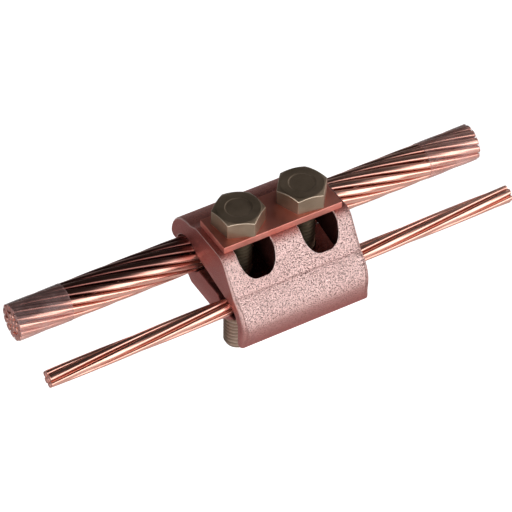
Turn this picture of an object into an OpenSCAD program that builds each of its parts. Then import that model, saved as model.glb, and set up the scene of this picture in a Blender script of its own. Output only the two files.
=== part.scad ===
// Two-bolt parallel clamp that joins a thick and a thin stranded copper conductor.
// The thick conductor's axis is the X axis, and the bolts stand along Z.
// Sections are drawn with Y to the right and Z upwards.

/* [Main conductor] */
// Diameter of one wire of the thick conductor
main_wire_d = 2.1; // [1.6:0.05:2.4]
// Lay length of its outer layer, right hand
main_outer_lay = 130; // [100:5:300]
// Lay length of its inner layer, left hand
main_inner_lay = 150; // [100:5:300]
// Angle of its first outer wire at the middle of the clamp
main_phase = 0; // [0:1:30]
// Length to the left of the middle of the clamp
main_left = 74.5; // [50:0.5:150]
// Length to the right of the middle of the clamp
main_right = 72; // [50:0.5:150]

/* [Tap conductor] */
// Diameter of one wire of the thin conductor
tap_wire_d = 1.7; // [1.2:0.05:2.2]
// Lay length of its outer layer, left hand
tap_lay = 170; // [80:5:300]
// Angle of its first outer wire at the middle of the clamp
tap_phase = 0; // [0:1:60]
// Length to the left of the middle of the clamp
tap_left = 75; // [50:0.5:150]
// Length to the right of the middle of the clamp
tap_right = 71; // [50:0.5:150]
// Distance from the bolt axis to the axis of the thin conductor
tap_offset = 11.4; // [10.5:0.1:13]

/* [End tape] */
// Thickness of the wrapped clear tape
tape_t = 0.15; // [0.1:0.01:0.4]
// Length of the wrap on the left end
tape_left_len = 16; // [8:0.5:24]
// Length of the wrap on the right end
tape_right_len = 16.5; // [8:0.5:24]

/* [Upper saddle] */
// Length of the saddle along the conductors
saddle_len = 40.6; // [36:0.5:60]
// Room in the hook round the thick conductor, on the radius
hook_room = 1.3; // [0.5:0.1:2]
// Wall of the hook, on the radius
hook_wall = 4; // [3:0.1:6]
// Shift of the hook's round outside towards the bolts
hook_shift = 1; // [0.5:0.1:1.5]
// Rise of the hook's round outside over the thick conductor's axis
hook_rise = 0.6; // [0.2:0.1:1]
// Height of the middle of the hook's rounded tip
hook_tip_z = 2.1; // [0.5:0.1:3]
// Height of the flat seat over the thick conductor's axis
seat_z = 12.8; // [12:0.1:16]
// Distance of the seat's back edge from the bolt axis
seat_back = 5.2; // [4.5:0.1:7]
// Distance of the seat's front edge from the bolt axis
seat_front = 6.4; // [5.5:0.1:8]
// Radius of the crest between seat and sloping front
crest_r = 4.3; // [2:0.1:6]
// Slope of the front below the crest
flank_angle = 56; // [52:1:60]
// Length of the sloping front
flank_len = 10.3; // [9.5:0.1:11]
// Radius of the pocket over the thin conductor
tap_pocket_r = 6; // [5:0.1:7]
// Radius of the rounded lobe outside that pocket
lobe_r = 10.6; // [9.5:0.1:12]
// Wall of the skirt at the middle of the lobe
skirt_wall = 3; // [2.5:0.1:5]
// Thickness of the skirt at its tip
skirt_tip_t = 2.5; // [1.5:0.1:3]
// Depth of the skirt's rounded tip below the middle of the lobe
skirt_drop = 4.8; // [3:0.1:8]
// Drop of the underside below the thick conductor's top, over its axis
underside_drop = 0.85; // [0.5:0.05:1.5]
// Width of the two bolt slots
slot_w = 11.1; // [9.5:0.1:12]
// Run of each slot from the bolt axis to the middle of its front corners
slot_run = 9.05; // [7:0.05:10]
// Radius of the slots' front corners
slot_corner = 4.3; // [3:0.1:4.7]

/* [Pressure plate] */
// Distance of the plate's ends from the saddle's ends
plate_inset = 1.7; // [0.5:0.1:3]
// Width of the plate
plate_w = 13.1; // [12:0.1:16]
// Thickness of the plate
plate_t = 2.2; // [1.5:0.1:4]
// Distance of the bolt axis behind the plate's middle
plate_shift = 0.7; // [0:0.1:1]

/* [Bolts] */
// Thread diameter of the bolts
bolt_d = 8; // [7:0.1:8.4]
// Length of the bolts under the head
bolt_len = 45; // [40:0.5:60]
// Head size across flats
bolt_af = 13; // [11:0.1:14]
// Height of the head
head_h = 5.3; // [4:0.1:7]
// Diameter of the flat on top of the head
head_flat_d = 12.35; // [9:0.05:12.5]
// Chamfer at the end of the thread
end_chamfer = 0.8; // [0.4:0.1:1.2]
// Pitch of the thread
thread_pitch = 1.25; // [1:0.05:1.5]
// Depth of the thread
thread_depth = 0.6; // [0.3:0.05:0.8]
// Least length without thread under the head
thread_runout = 1.5; // [0.5:0.1:2]
// Distance between the two bolt axes
bolt_spacing = 20; // [18:0.1:22]
// Turn of the left head
left_head_turn = -23; // [-30:1:30]
// Turn of the right head
right_head_turn = -8; // [-30:1:30]

/* [Lower jaw] */
// Distance of the jaw's ends from the saddle's ends
jaw_inset = 0.3; // [0:0.1:1]
// Thickness of the jaw at the bolts
jaw_t = 7.8; // [6.5:0.1:10]
// Depth of the jaw's top below the thick conductor's axis
jaw_top_drop = 2.2; // [1.8:0.1:3]
// Reach of the jaw from the bolt axis to each side
jaw_reach = 16.7; // [16:0.1:17.2]
// Half the width of the jaw's flat bottom
jaw_flat = 8.45; // [7:0.05:10]
// Height of the jaw's lips at both sides
jaw_lip = 1.4; // [1:0.1:3]
// Radius of both grooves in the jaw
groove_r = 6; // [5.6:0.1:6.4]

/* [Clearances] */
// Room between neighbouring wires
wire_gap = 0.02; // [0.01:0.01:0.05]
// Room between a conductor and its seat
seat_gap = 0.08; // [0.05:0.01:0.2]
// Room between the thick conductor and the bolts
bolt_side_gap = 0.45; // [0.3:0.05:1]
// Radial room of the bolts in the jaw
thread_gap = 0.05; // [0.02:0.01:0.1]
// Radial room of the bolts in the plate
plate_hole_gap = 0.5; // [0.3:0.05:0.8]
// Room between the jaw's front lip and the inside of the saddle
jaw_gap = 0.3; // [0.2:0.05:0.6]

/* [Hidden] */
INNER_WIRES = 6;
OUTER_WIRES = 12;
TAP_WIRES = 6;

wire_sides = 8;
outer_rings = 32;
inner_rings = 16;
crest_steps = 8;
far = 60;
$fn = 96;

// Conductor radii
main_layer_r = main_wire_d + wire_gap;
main_r = 2 * main_layer_r + main_wire_d / 2;
tap_layer_r = tap_wire_d + wire_gap;
tap_r = tap_layer_r + tap_wire_d / 2;

// Places in the section
bolt_y = -(main_r + bolt_side_gap + bolt_d / 2);
groove_z = -main_r - seat_gap;
tap_y = bolt_y - tap_offset;
tap_z = groove_z + seat_gap + tap_r;
hook_pocket_r = main_r + hook_room;
hook_pocket_z = main_r + seat_gap - hook_pocket_r;
hook_r = hook_pocket_r + hook_wall;
hook_y = -hook_shift;
hook_z = hook_rise;
tap_pocket_z = tap_z + tap_r + seat_gap - tap_pocket_r;
skirt_inner_y = tap_y - tap_pocket_r;
lobe_y = skirt_inner_y - skirt_wall + lobe_r;
crest_y = bolt_y - seat_front;
crest_z = seat_z - crest_r;
function crest_point(a) = [crest_y - crest_r * sin(a), crest_z + crest_r * cos(a)];
flank_end = crest_point(flank_angle) - flank_len * [cos(flank_angle), sin(flank_angle)];
plate_len = saddle_len - 2 * plate_inset;
plate_top_z = seat_z + plate_t;
jaw_len = saddle_len - 2 * jaw_inset;
jaw_bottom_z = -jaw_top_drop - jaw_t;

// Stretches a section drawn in Y and Z along X, about the middle of the clamp
module along_x(len) {
    translate([-len / 2, 0, 0])
        rotate([90, 0, 90])
            linear_extrude(height = len)
                children();
}

// Repeats a piece at both bolts
module at_bolts() {
    for (side = [-1, 1])
        translate([side * bolt_spacing / 2, bolt_y, 0])
            children();
}

// One wire of a layer, wound round the conductor's axis along X
module helical_wire(layer_r, wire_d, lay, hand, phase, left, right, rings) {
    len = left + right;
    translate([-left, 0, 0])
        rotate([0, 90, 0])
            rotate([0, 0, phase - hand * 360 * left / lay])
                linear_extrude(height = len, twist = -hand * 360 * len / lay, slices = rings,
                               segments = wire_sides)
                    translate([layer_r, 0])
                        circle(d = wire_d, $fn = wire_sides);
}

// Straight wire along X
module core_wire(wire_d, left, right) {
    translate([-left, 0, 0])
        rotate([0, 90, 0])
            cylinder(d = wire_d, h = left + right);
}

// Rounded tip of the hook, between pocket and outside
module hook_tip() {
    inner_y = sqrt(pow(hook_pocket_r, 2) - pow(hook_tip_z - hook_pocket_z, 2));
    outer_y = hook_y + sqrt(pow(hook_r, 2) - pow(hook_tip_z - hook_z, 2));
    translate([(inner_y + outer_y) / 2, hook_tip_z])
        circle(d = outer_y - inner_y);
}

// Hook over the thick conductor, above its tip
module hook_outline() {
    intersection() {
        translate([hook_y, hook_z])
            circle(r = hook_r);
        translate([-far, hook_tip_z])
            square([2 * far, far]);
    }
}

// Seat, crest and sloping front
module body_outline() {
    polygon(concat(
        [[hook_y, hook_z + hook_r], [bolt_y + seat_back, seat_z]],
        [for (i = [0:crest_steps]) crest_point(i * flank_angle / crest_steps)],
        [flank_end, [lobe_y, tap_pocket_z], [hook_y, hook_z]]
    ));
}

// Lobe over the thin conductor, and the skirt below it
module skirt_outline() {
    tip_y = skirt_inner_y - skirt_tip_t / 2;
    tip_z = tap_pocket_z - skirt_drop;
    intersection() {
        translate([lobe_y, tap_pocket_z])
            circle(r = lobe_r);
        translate([lobe_y - far, tap_pocket_z])
            square([far, far]);
    }
    polygon([
        [skirt_inner_y, tap_pocket_z],
        [skirt_inner_y - skirt_wall, tap_pocket_z],
        [skirt_inner_y - skirt_tip_t, tip_z],
        [skirt_inner_y, tip_z]
    ]);
    translate([tip_y, tip_z])
        circle(d = skirt_tip_t);
}

// Space for conductors and jaw under the saddle
module saddle_hollow() {
    translate([0, hook_pocket_z])
        circle(r = hook_pocket_r);
    translate([tap_y, tap_pocket_z])
        circle(r = tap_pocket_r);
    translate([skirt_inner_y, -far])
        square([tap_pocket_r, tap_pocket_z + far]);
    polygon([
        [0, main_r - underside_drop],
        [tap_y, tap_pocket_z + tap_pocket_r],
        [tap_y, -far],
        [0, -far]
    ]);
}

module saddle_section() {
    difference() {
        union() {
            hook_outline();
            body_outline();
            skirt_outline();
        }
        saddle_hollow();
    }
    hook_tip();
}

// Slot with a round back end and rounded front corners that lets the saddle shift under the bolts
module bolt_slot() {
    corner_x = slot_w / 2 - slot_corner;
    translate([0, 0, -far])
        cylinder(d = slot_w, h = 2 * far);
    translate([-slot_w / 2, -slot_run, -far])
        cube([slot_w, slot_run, 2 * far]);
    for (side = [-1, 1])
        translate([side * corner_x, -slot_run, -far])
            cylinder(r = slot_corner, h = 2 * far);
    translate([-corner_x, -slot_run - slot_corner, -far])
        cube([2 * corner_x, slot_run, 2 * far]);
}

module upper_saddle() {
    color("rosybrown")
        difference() {
            along_x(saddle_len)
                saddle_section();
            at_bolts()
                bolt_slot();
        }
}

module pressure_plate() {
    color("indianred")
        difference() {
            translate([-plate_len / 2, bolt_y - plate_shift - plate_w / 2, seat_z])
                cube([plate_len, plate_w, plate_t]);
            at_bolts()
                translate([0, 0, seat_z - plate_t])
                    cylinder(r = bolt_d / 2 + plate_hole_gap, h = 3 * plate_t);
        }
}

// Hexagon head with its top corners turned off at 30 degrees
module hex_head() {
    flat_r = head_flat_d / 2;
    intersection() {
        cylinder(d = bolt_af / cos(30), h = head_h, $fn = 6);
        cylinder(r1 = flat_r + head_h / tan(30), r2 = flat_r, h = head_h);
    }
}

// Shank below the head, with each turn of the thread as a ring
module threaded_shank() {
    crest = bolt_d / 2;
    root = crest - thread_depth;
    first_z = end_chamfer - bolt_len;
    turns = floor((bolt_len - end_chamfer - thread_runout) / thread_pitch);
    rotate_extrude()
        polygon(concat(
            [[0, 0], [0, -bolt_len], [crest - end_chamfer, -bolt_len]],
            [for (i = [0:2 * turns]) [i % 2 == 0 ? crest : root, first_z + i * thread_pitch / 2]],
            [[crest, 0]]
        ));
}

module hex_bolt(side, head_turn) {
    color("dimgray")
        translate([side * bolt_spacing / 2, bolt_y, plate_top_z]) {
            rotate([0, 0, head_turn])
                hex_head();
            threaded_shank();
        }
}

// What the saddle's pocket leaves no room for, above and in front of the jaw
module pocket_relief() {
    difference() {
        translate([tap_y - far, tap_pocket_z])
            square([far, far]);
        translate([tap_y, tap_pocket_z])
            circle(r = tap_pocket_r - jaw_gap);
    }
}

module jaw_section() {
    lip_z = -jaw_top_drop - jaw_lip;
    difference() {
        translate([bolt_y, 0])
            polygon([
                [-jaw_reach, -jaw_top_drop],
                [-jaw_reach, lip_z],
                [-jaw_flat, jaw_bottom_z],
                [jaw_flat, jaw_bottom_z],
                [jaw_reach, lip_z],
                [jaw_reach, -jaw_top_drop]
            ]);
        for (y = [0, tap_y])
            translate([y, groove_z + groove_r])
                circle(r = groove_r);
        pocket_relief();
    }
}

module lower_jaw() {
    color("rosybrown")
        difference() {
            along_x(jaw_len)
                jaw_section();
            at_bolts()
                translate([0, 0, jaw_bottom_z - jaw_t])
                    cylinder(r = bolt_d / 2 + thread_gap, h = 3 * jaw_t);
        }
}

module main_core_wire() {
    color("peru")
        core_wire(main_wire_d, main_left, main_right);
}

module main_inner_wire(i) {
    color("peru")
        helical_wire(main_layer_r, main_wire_d, main_inner_lay, -1, i * 360 / INNER_WIRES,
                     main_left, main_right, inner_rings);
}

module main_outer_wire(i) {
    color("peru")
        helical_wire(2 * main_layer_r, main_wire_d, main_outer_lay, 1, main_phase + i * 360 / OUTER_WIRES,
                     main_left, main_right, outer_rings);
}

module tap_core_wire() {
    color("peru")
        translate([0, tap_y, tap_z])
            core_wire(tap_wire_d, tap_left, tap_right);
}

module tap_outer_wire(i) {
    color("peru")
        translate([0, tap_y, tap_z])
            helical_wire(tap_layer_r, tap_wire_d, tap_lay, -1, tap_phase + i * 360 / TAP_WIRES,
                         tap_left, tap_right, outer_rings);
}

// Clear tape wrapped round an end of the thick conductor
module end_tape(start_x, len) {
    inner_r = main_r + wire_gap;
    color("mistyrose")
        translate([start_x, 0, 0])
            rotate([0, 90, 0])
                difference() {
                    cylinder(r = inner_r + tape_t, h = len);
                    translate([0, 0, -len])
                        cylinder(r = inner_r, h = 3 * len);
                }
}

module end_tape_left() {
    end_tape(-main_left, tape_left_len);
}

module end_tape_right() {
    end_tape(main_right - tape_right_len, tape_right_len);
}

upper_saddle();
pressure_plate();
lower_jaw();
hex_bolt(-1, left_head_turn);  // bolt_left
hex_bolt(1, right_head_turn);  // bolt_right
main_core_wire();
for (i = [1:INNER_WIRES])
    main_inner_wire(i);
for (i = [1:OUTER_WIRES])
    main_outer_wire(i);
tap_core_wire();
for (i = [1:TAP_WIRES])
    tap_outer_wire(i);
end_tape_left();
end_tape_right();
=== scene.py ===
# Looks of a two-bolt parallel clamp on its two stranded copper conductors, in metres
import math
import random

import bmesh
import bpy
import numpy as np
from mathutils import Matrix, Vector


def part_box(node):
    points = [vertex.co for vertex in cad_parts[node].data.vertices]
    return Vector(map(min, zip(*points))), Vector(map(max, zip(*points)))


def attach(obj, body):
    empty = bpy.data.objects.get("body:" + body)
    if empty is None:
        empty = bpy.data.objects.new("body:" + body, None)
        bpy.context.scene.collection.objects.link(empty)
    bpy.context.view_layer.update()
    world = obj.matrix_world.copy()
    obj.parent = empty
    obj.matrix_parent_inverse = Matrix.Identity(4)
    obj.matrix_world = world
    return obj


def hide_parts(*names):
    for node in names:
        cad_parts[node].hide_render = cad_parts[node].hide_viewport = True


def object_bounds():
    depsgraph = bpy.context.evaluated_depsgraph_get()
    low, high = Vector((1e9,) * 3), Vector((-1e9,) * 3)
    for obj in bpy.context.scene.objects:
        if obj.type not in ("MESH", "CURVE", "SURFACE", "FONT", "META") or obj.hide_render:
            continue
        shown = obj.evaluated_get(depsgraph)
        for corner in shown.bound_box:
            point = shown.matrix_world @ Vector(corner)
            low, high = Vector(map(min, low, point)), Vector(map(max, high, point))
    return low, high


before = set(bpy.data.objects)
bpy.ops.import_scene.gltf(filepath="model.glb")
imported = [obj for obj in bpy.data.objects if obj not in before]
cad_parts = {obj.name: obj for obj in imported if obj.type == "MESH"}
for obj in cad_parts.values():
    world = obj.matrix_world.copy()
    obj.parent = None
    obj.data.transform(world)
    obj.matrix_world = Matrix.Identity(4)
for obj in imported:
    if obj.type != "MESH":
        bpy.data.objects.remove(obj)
cad_low, cad_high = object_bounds()
random.seed(7)

MM = 0.001
X_AXIS = (1, 0, 0)
Z_AXIS = (0, 0, 1)

# Section of the saddle, with Y to the right and Z upwards, in millimetres
POCKET_Z = -1.22
POCKET_R = 6.59
HOOK_Y = -1.0
HOOK_Z = 0.6
HOOK_R = 10.59
HOOK_TIP_Z = 2.1
SEAT_BACK_Y = -4.54
SEAT_Z = 12.8
CREST_Y = -16.14
CREST_R = 4.3
FLANK_ANGLE = 56
LOBE_Y = -19.54
LOBE_Z = -6.07
LOBE_R = 10.6
TAP_Y = -21.14
TAP_Z = -2.72
TAP_POCKET_R = 6.0
SKIRT_IN = TAP_Y - TAP_POCKET_R
SKIRT_TIP_T = 2.5
SKIRT_DROP = 4.8
SKIRT_TIP_Z = LOBE_Z - SKIRT_DROP
UNDERSIDE_Z = 4.44

# Roundings and marked bands of the castings, in millimetres, the front's roundings by their height, and the
# width of the painted shade along the crease
NOSE_ROUND = 0.75
RIM_ROUND = 0.45
INNER_ROUND = 0.35
CREST_ROUND = 0.25
FRONT_ROUNDS = ((-12.2, 0.95), (-10.87, 1.15), (-8.5, 1.7), (-5, 1.6), (-2, 1.25), (4, 0.75), (9.7, 0.5),
                (12.8, 0.25))
JAW_ROUND = 0.45
EDGE_LINE = 0.25
CREASE_SHADE_BAND = 0.5

# Degrees between the points of an arc, and those above which an edge counts as sharp
ARC_STEP = 4
LOBE_STEP = 3
HOOK_TIP_STEP = 12
SKIRT_TIP_STEP = 15
SLOT_STEP = 5.625
RIM_SHARP = 35
JAW_FLAT = 0.5

# Limits of the meshes, with the distances in millimetres
ROUND_STEPS = 3
MITRE_LIMIT = 0.5
WELD = 0.01
JAW_WELD = 0.002
THREAD_WELD = 0.004

# Bolts, plate and slots, in millimetres, with the turns of the heads in degrees
BOLT_Y = -9.74
BOLT_X = 10.0
BOLT_R = 4.0
BLANK_R = 4.1
ROUND_SIDES = 64
SLOT_W = 11.1
SLOT_RUN = 9.05
SLOT_CORNER = 4.3
CUTTER_REACH = 40
PLATE_HOLE_R = 4.5
PLATE_DRILL = 20
PLATE_ROUND = 0.22
PITCH = 1.25
THREAD_DEPTH = 0.68
THREAD_STEPS = 28
END_CHAMFER = 0.8
HEAD_FLATS = 13.0
HEAD_FLAT_R = 6.175
HEAD_SIDES = 96
HEAD_CORNER = 0.25
HEAD_ROUND = 0.16
HEAD_TURNS = {"bolt_left": -23, "bolt_right": -8}
DISH_FLOOR_R = 3.6
DISH_RIM_R = 4.0
DISH_CUT = 0.3

# Heights of the thread's form within one pitch
ROOT_TO = 0.12
CREST_FROM = 0.5
CREST_TO = 0.62

# Conductors, in millimetres, with a negative lay for the left hand
MAIN_AXIS = (0, 0)
MAIN_WIRE_D = 2.1
MAIN_LAYER_R = 2.12
MAIN_OUTER_LAY = 130
MAIN_INNER_LAY = -150
MAIN_CORE_LAY = 150
TAP_AXIS = (TAP_Y, TAP_Z)
TAP_WIRE_D = 1.7
TAP_LAYER_R = 1.72
TAP_LAY = -170
TAP_CORE_LAY = 170
WIRE_SIDES = 28
WIRE_STEPS = 80
STRAND_SHIFT = 5
WIRE_END_ROUND = 0.12
OUTER_SPREAD = 0.5
PRESSED_FLAT = 3.4

# Tape round the main conductor, in millimetres and radians, whose sweep needs some turn
FILM_T = 0.13
FILM_INSET = 0.15
FILM_CLEAR = 0.02
FILM_SIDES = 144
FILM_STEPS = 48
FILM_TURN = 0.0001
MAIN_SECTOR = math.radians(30)

# Marks on the surfaces, from shares of their normals and places in millimetres
ON_WALL = 0.02
STEEP = 0.35
END_FACE_FROM = 0.55
END_FACE_OVER = 0.4
END_ROUND_FULL = 0.35
# Front of the saddle that faces the front light: a painted lit tone, paler and brighter, and stronger grain
# relief
BLASTED_AND_LIT_FROM = 0.55
BLASTED_AND_LIT_OVER = 0.4
BLASTED_AND_LIT_FADE = 1.5
BLASTED_AND_LIT_END_LOSS = 0.45
# Worn edges of the saddle with a painted highlight, stronger higher up on the ends
WEAR_HIGHLIGHT_SKIN = 0.03
WEAR_HIGHLIGHT_MIDDLE = 0.6
WEAR_HIGHLIGHT_SPAN = 0.28
WEAR_HIGHLIGHT_FULL = 1.4
WEAR_HIGHLIGHT_END_LEVEL = 0.35
WEAR_HIGHLIGHT_END_RISE = 0.075
WEAR_HIGHLIGHT_END_LEAST = 0.05
WEAR_HIGHLIGHT_END_MOST = 0.5
# Painted shade on the jaw's top, under the saddle
JAW_TOP_FROM = 0.5
JAW_TOP_SHADE = 0.95
# Head edges, for wear with a painted highlight
HEAD_EDGE_FROM = 0.3
HEAD_EDGE_TO = 0.7
# Painted shade in the grooves between strands, fainter on the lower, lit side
GROOVE_TOP = 0.97
GROOVE_SLOPE = 3.5
GROOVE_SHADE_LIT_SIDE = 0.28
# Painted shade on the main conductor's upper, back side, fading towards the right
TOP_SHADE_WAY = Vector((0.42, 0.906))
TOP_SHADE_FROM = 0.02
TOP_SHADE_OVER = 0.48
TOP_SHADE_RUN = 50
TOP_SHADE_FADE = 0.7

# Tones of the finishes, as a pair where a pattern runs between two; the lit, light, shade and highlight
# tones are painted light and shade
CAST_PLAIN = ((0.41, 0.135, 0.11), (0.5, 0.19, 0.16))
CAST_PAINTED_LIT = ((0.92, 0.625, 0.59), (1.0, 0.735, 0.695))
CAST_PIT = (0.2, 0.08, 0.07)
CAST_END = (0.3, 0.078, 0.068)
CAST_CREASE_SHADE = (0.4, 0.19, 0.17)
CAST_LINE = (0.2, 0.07, 0.06)
CAST_FOOT_SHADE = (0.42, 0.155, 0.14)
CAST_WORN_HIGHLIGHT = (1.0, 0.8, 0.76)
CAST_DEEP_SHADE = (0.075, 0.022, 0.019)
ROLLED = ((0.66, 0.23, 0.18), (0.75, 0.31, 0.25))
WIRE = ((0.84, 0.43, 0.34), (0.92, 0.52, 0.42))
WIRE_GROOVE_SHADE = (0.22, 0.055, 0.04)
WIRE_TOP_SHADE = (0.14, 0.05, 0.045)
WIRE_END = (0.42, 0.14, 0.11)
STEEL = ((0.28, 0.207, 0.145), (0.355, 0.268, 0.197))
STEEL_SHANK_SHADE = (0.13, 0.11, 0.07)
STEEL_TAIL_LIGHT = (0.58, 0.45, 0.37)
STEEL_WORN_HIGHLIGHT = (0.62, 0.5, 0.39)
STEEL_ROOT_SHADE = (0.1, 0.075, 0.05)
TAPE = ((0.42, 0.23, 0.22), (0.62, 0.4, 0.38))

# Heights between which the casting's foot takes a painted shade and the bolts' tail a painted light, in
# millimetres
FOOT_SHADE_FROM = -4
FOOT_SHADE_TO = -11
TAIL_LIGHT_FROM = -12
TAIL_LIGHT_TO = -18

# Camera fitted to the photograph, in degrees and millimetres
CAMERA_AZIMUTH = -30.96
CAMERA_ELEVATION = 43.53
CAMERA_ROLL = 0.715
CAMERA_DISTANCE = 954.6
CAMERA_LENS = 242.9
CAMERA_SENSOR = 36
CAMERA_RIGHT = 0.994
CAMERA_UP = -7.775
CAMERA_NUDGE = 0.3
CAMERA_NEAR = 50

# Floor in metres, and the studio's light, which falls from low in front to high behind
FLOOR_REACH = 4
FLOOR_GAP = 0.2 * MM
FRONT_LEAN = 0.35
SKY_LEVELS = ((0.0, 0.9), (0.2, 0.6), (0.35, 0.3), (0.46, 0.12), (0.6, 0.035), (0.8, 0.02))


def clamp(value):
    return max(0.0, min(1.0, value))


# Mesh helpers
def pen_step(bm, tip):
    return bmesh.ops.extrude_vert_indiv(bm, verts=[tip])["verts"][0]


def pen_line(bm, tip, y, z, steps=1):
    start = tip.co.copy()
    end = Vector((start.x, y * MM, z * MM))
    for i in range(1, steps + 1):
        tip = pen_step(bm, tip)
        tip.co = start.lerp(end, i / steps)
    return tip


def pen_spin(bm, tip, centre, axis, degrees, step):
    steps = max(2, round(abs(degrees) / step))
    made = bmesh.ops.spin(bm, geom=[tip], cent=centre, axis=axis, angle=math.radians(degrees), steps=steps)
    return [g for g in made["geom_last"] if isinstance(g, bmesh.types.BMVert)][0]


def pen_arc(bm, tip, centre, degrees, step=ARC_STEP):
    return pen_spin(bm, tip, (tip.co.x, centre[0] * MM, centre[1] * MM), X_AXIS, degrees, step)


def plan_arc(bm, tip, x, y, degrees):
    return pen_spin(bm, tip, (x * MM, y * MM, 0), Z_AXIS, degrees, SLOT_STEP)


def thicken(bm, faces, shift):
    made = bmesh.ops.extrude_face_region(bm, geom=faces, use_keep_orig=True)
    moved = [g for g in made["geom"] if isinstance(g, bmesh.types.BMVert)]
    bmesh.ops.translate(bm, verts=moved, vec=shift)
    bmesh.ops.recalc_face_normals(bm, faces=bm.faces)


def bevel(bm, edges, width, segments):
    bmesh.ops.bevel(bm, geom=edges, offset=width * MM, segments=segments, profile=0.5, affect="EDGES",
                    material=-1)


def add_cone(bm, segments, low_r, high_r, height, place):
    bmesh.ops.create_cone(bm, cap_ends=True, segments=segments, radius1=low_r, radius2=high_r, depth=height,
                          matrix=place)


def add_ring(bm, segments, radius, place):
    turned = Matrix.Translation(place) @ Matrix.Rotation(math.pi / 2, 4, "Y")
    bmesh.ops.create_circle(bm, segments=segments, radius=radius, matrix=turned)


def note_inward(bm, face):
    inward = bm.verts.layers.float_vector["inward"]
    ring = list(face.verts)
    area = sum(a.co.y * b.co.z - b.co.y * a.co.z for a, b in zip(ring, ring[1:] + ring[:1]))
    side = 1 if area > 0 else -1
    for before, v, after in zip(ring[-1:] + ring[:-1], ring, ring[1:] + ring[:1]):
        first = (v.co - before.co).normalized()
        second = (after.co - v.co).normalized()
        normal = Vector((0, -first.z - second.z, first.y + second.y)).normalized()
        mitre = max(MITRE_LIMIT, normal.dot(Vector((0, -first.z, first.y))))
        v[inward] = side * normal / mitre


def round_end(bm, face, outwards, steps=4):
    rounding = bm.verts.layers.float["rounding"]
    edge_line = bm.verts.layers.float["edge_line"]
    inward = bm.verts.layers.float_vector["inward"]
    home = bm.verts.layers.float_vector["home"]
    for v in face.verts:
        v[home] = v.co
        v.co.x -= outwards * (v[rounding] + EDGE_LINE) * MM
    for k in range(steps + 1):
        angle = k / steps * math.pi / 2
        made = bmesh.ops.extrude_face_region(bm, geom=[face])["geom"]
        if face.is_valid:
            bmesh.ops.delete(bm, geom=[face], context="FACES_ONLY")
        face = [g for g in made if isinstance(g, bmesh.types.BMFace)][0]
        for v in face.verts:
            size = v[rounding] * MM
            v.co = v[home] + v[inward] * size * (1 - math.cos(angle))
            v.co.x -= outwards * size * (1 - math.sin(angle))
            in_front = v.co.y < CREST_Y * MM and v[rounding] > INNER_ROUND
            v[edge_line] = 1.0 if k == 0 and in_front else 0.0


def round_both_ends(obj):
    bm = bmesh.new()
    bm.from_mesh(obj.data)
    bm.verts.layers.float.new("edge_line")
    bm.verts.layers.float_vector.new("inward")
    bm.verts.layers.float_vector.new("home")
    caps = sorted(bm.faces, key=lambda f: abs(f.normal.x) * f.calc_area())[-2:]
    for face in caps:
        note_inward(bm, face)
        round_end(bm, face, 1 if face.normal.x > 0 else -1)
    bmesh.ops.recalc_face_normals(bm, faces=bm.faces)
    bm.to_mesh(obj.data)
    bm.free()


def new_object(name, bm):
    mesh = bpy.data.meshes.new(name)
    bm.to_mesh(mesh)
    bm.free()
    obj = bpy.data.objects.new(name, mesh)
    bpy.context.scene.collection.objects.link(obj)
    return obj


def keep_modifiers(obj):
    graph = bpy.context.evaluated_depsgraph_get()
    mesh = bpy.data.meshes.new_from_object(obj.evaluated_get(graph))
    mesh.name = obj.name
    obj.modifiers.clear()
    obj.data = mesh


def round_edges(obj, width, method, degrees=45):
    mod = obj.modifiers.new("round", "BEVEL")
    mod.width = width * MM
    mod.segments = ROUND_STEPS
    mod.profile = 0.5
    mod.limit_method = method
    mod.angle_limit = math.radians(degrees)
    mod.use_clamp_overlap = False
    mod.loop_slide = False
    keep_modifiers(obj)


def cut(obj, cutter, operation="DIFFERENCE"):
    mod = obj.modifiers.new("cut", "BOOLEAN")
    mod.operation = operation
    mod.solver = "EXACT"
    mod.object = cutter
    keep_modifiers(obj)
    bpy.data.objects.remove(cutter)


def smooth(obj, degrees=40):
    obj.data.shade_smooth()
    obj.data.set_sharp_from_angle(angle=math.radians(degrees))
    mod = obj.modifiers.new("normals", "WEIGHTED_NORMAL")
    mod.keep_sharp = True
    mod.weight = 100
    keep_modifiers(obj)


def mark_points(obj, name, share):
    mark = obj.data.attributes.new(name, "FLOAT", "POINT")
    for v in obj.data.vertices:
        mark.data[v.index].value = share(v)


def dress(obj, body, node_name, material):
    obj.data.materials.append(material)
    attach(obj, body)
    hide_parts(node_name)


# Shader helpers
def node(tree, kind, place, **values):
    made = tree.nodes.new(kind)
    made.location = place
    for key, value in values.items():
        if hasattr(made, key):
            setattr(made, key, value)
        else:
            made.inputs[key].default_value = value
    return made


def feed(tree, socket, value):
    if isinstance(value, bpy.types.NodeSocket):
        tree.links.new(value, socket)
    elif isinstance(value, tuple):
        socket.default_value = (*value, 1)
    else:
        socket.default_value = value


def maths(tree, place, operation, *values):
    made = node(tree, "ShaderNodeMath", place, operation=operation)
    for socket, value in zip(made.inputs, values):
        feed(tree, socket, value)
    return made.outputs[0]


def mixed(tree, place, share, a, b):
    made = node(tree, "ShaderNodeMix", place, data_type="RGBA")
    for at, value in ((0, share), (6, a), (7, b)):
        feed(tree, made.inputs[at], value)
    return made.outputs[2]


def spread(tree, place, value, low, high, start=0.0, end=1.0, kind="LINEAR"):
    made = node(tree, "ShaderNodeMapRange", place, interpolation_type=kind)
    tree.links.new(value, made.inputs["Value"])
    made.inputs["From Min"].default_value = start
    made.inputs["From Max"].default_value = end
    made.inputs["To Min"].default_value = low
    made.inputs["To Max"].default_value = high
    return made.outputs["Result"]


def stained(tree, place, tone, mask, most, colour):
    share = spread(tree, (place[0] - 250, place[1] + 200), mask, 0.0, most)
    return mixed(tree, place, share, tone, colour)


def grey(value):
    return (value, value, value, 1)


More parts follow.
